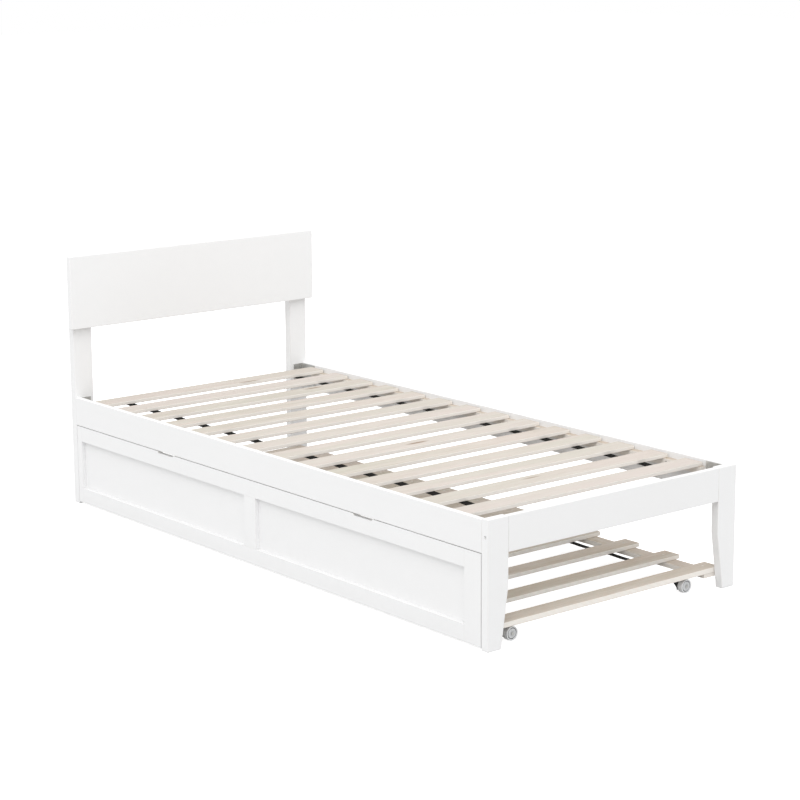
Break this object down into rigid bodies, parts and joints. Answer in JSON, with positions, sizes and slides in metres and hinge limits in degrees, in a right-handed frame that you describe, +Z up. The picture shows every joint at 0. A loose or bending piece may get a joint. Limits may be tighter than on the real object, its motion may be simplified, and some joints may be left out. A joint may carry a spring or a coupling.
{
  "type": "trundle bed",
  "caption": "Painted single bed with a plain headboard panel, a slatted base and a slatted trundle that rolls out from one side.",
  "frame": {"origin": "on the floor, under the centre of the bounding box", "axes": "+X towards the foot end, +Y towards the side away from the trundle front, +Z up"},
  "size_m": [2.08, 0.986, 0.83],
  "materials": {
    "white_paint": "white satin lacquer",
    "bare_wood": "planed and unfinished",
    "webbing": "woven black tape",
    "zinc_steel": "zinc plated",
    "black_steel": "black powder coat",
    "wheel_nylon": "moulded grey nylon"
  },
  "bodies": {
    "bed_frame": {"headboard_panel": "white_paint", "head_post_front": "white_paint", "head_post_rear": "white_paint", "foot_leg_front": "white_paint", "foot_leg_rear": "white_paint", "foot_rail": "white_paint", "side_rail_front": "white_paint", "side_rail_rear": "white_paint", "slat_ledger_front": "bare_wood", "slat_ledger_rear": "bare_wood", "bed_slat_01": "bare_wood", "bed_slat_02": "bare_wood", "bed_slat_03": "bare_wood", "bed_slat_04": "bare_wood", "bed_slat_05": "bare_wood", "bed_slat_06": "bare_wood", "bed_slat_07": "bare_wood", "bed_slat_08": "bare_wood", "bed_slat_09": "bare_wood", "bed_slat_10": "bare_wood", "bed_slat_11": "bare_wood", "bed_slat_12": "bare_wood", "bed_slat_13": "bare_wood", "bed_slat_14": "bare_wood", "bed_slat_straps": "webbing", "corner_brackets": "zinc_steel", "bracket_screws": "zinc_steel", "foot_rail_bolts": "zinc_steel", "barrel_nuts": "zinc_steel", "frame_screws": "zinc_steel"},
    "trundle": {"front_top_rail": "white_paint", "front_bottom_rail": "white_paint", "front_stile_head": "white_paint", "front_stile_middle": "white_paint", "front_stile_foot": "white_paint", "front_panels": "white_paint", "trundle_runner_front": "bare_wood", "trundle_runner_rear": "bare_wood", "trundle_end_board_head": "bare_wood", "trundle_end_board_foot": "bare_wood", "trundle_slat_01": "bare_wood", "trundle_slat_02": "bare_wood", "trundle_slat_03": "bare_wood", "trundle_slat_04": "bare_wood", "trundle_slat_05": "bare_wood", "trundle_slat_06": "bare_wood", "trundle_slat_07": "bare_wood", "trundle_slat_08": "bare_wood", "trundle_slat_09": "bare_wood", "trundle_slat_10": "bare_wood", "trundle_slat_11": "bare_wood", "trundle_slat_straps": "webbing", "trundle_screws": "zinc_steel", "caster_brackets": "black_steel", "caster_axles": "zinc_steel"},
    "wheel_foot_front": {"caster_wheel_foot_front": "wheel_nylon"},
    "wheel_foot_rear": {"caster_wheel_foot_rear": "wheel_nylon"},
    "wheel_head_front": {"caster_wheel_head_front": "wheel_nylon"},
    "wheel_head_rear": {"caster_wheel_head_rear": "wheel_nylon"}
  },
  "joints": [
    {"name": "trundle_slide", "type": "slide", "parent": "bed_frame", "child": "trundle", "axis": [0, -1, 0], "range_m": [0, 0.95]},
    {"name": "wheel_foot_front_turn", "type": "hinge", "parent": "trundle", "child": "wheel_foot_front", "pos_m": [0.9945, -0.354, 0.02], "axis": [1, 0, 0], "continuous": true},
    {"name": "wheel_foot_rear_turn", "type": "hinge", "parent": "trundle", "child": "wheel_foot_rear", "pos_m": [0.9945, 0.3175, 0.02], "axis": [1, 0, 0], "continuous": true},
    {"name": "wheel_head_front_turn", "type": "hinge", "parent": "trundle", "child": "wheel_head_front", "pos_m": [-0.9905, -0.354, 0.02], "axis": [1, 0, 0], "continuous": true},
    {"name": "wheel_head_rear_turn", "type": "hinge", "parent": "trundle", "child": "wheel_head_rear", "pos_m": [-0.9905, 0.3175, 0.02], "axis": [1, 0, 0], "continuous": true}
  ],
  "couplings": [
    {"joint": "wheel_foot_front_turn", "follows": "trundle_slide", "rad_per_m": 50},
    {"joint": "wheel_foot_rear_turn", "follows": "trundle_slide", "rad_per_m": 50},
    {"joint": "wheel_head_front_turn", "follows": "trundle_slide", "rad_per_m": 50},
    {"joint": "wheel_head_rear_turn", "follows": "trundle_slide", "rad_per_m": 50}
  ]
}
